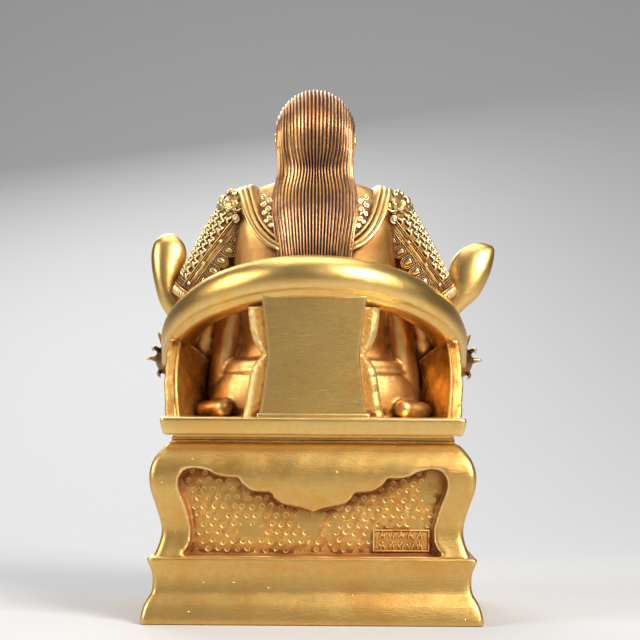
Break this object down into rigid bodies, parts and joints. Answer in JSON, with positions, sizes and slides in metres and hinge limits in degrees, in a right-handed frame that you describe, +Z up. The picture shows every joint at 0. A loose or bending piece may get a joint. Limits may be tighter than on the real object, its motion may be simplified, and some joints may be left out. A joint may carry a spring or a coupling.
{
  "type": "seated altar figure",
  "caption": "Gilt cast metal figure with long combed hair and mail arm guards, seated on a horseshoe-backed throne on a table-shaped stand.",
  "frame": {"origin": "centre of the plinth's flat underside", "axes": "+Z up, the figure faces -Y, and +X is the figure's own left side"},
  "size_m": [0.1731, 0.132, 0.2539],
  "materials": {
    "gilt_figure": "satin gilt brass with warm reddish-brown patina in the recesses, and dark brown hair",
    "gilt_stand": "satin gilt brass, rough reddish-brown ground in the recessed panels"
  },
  "bodies": {
    "root": {"figure_on_throne": "gilt_figure", "stand": "gilt_stand"}
  },
  "joints": []
}
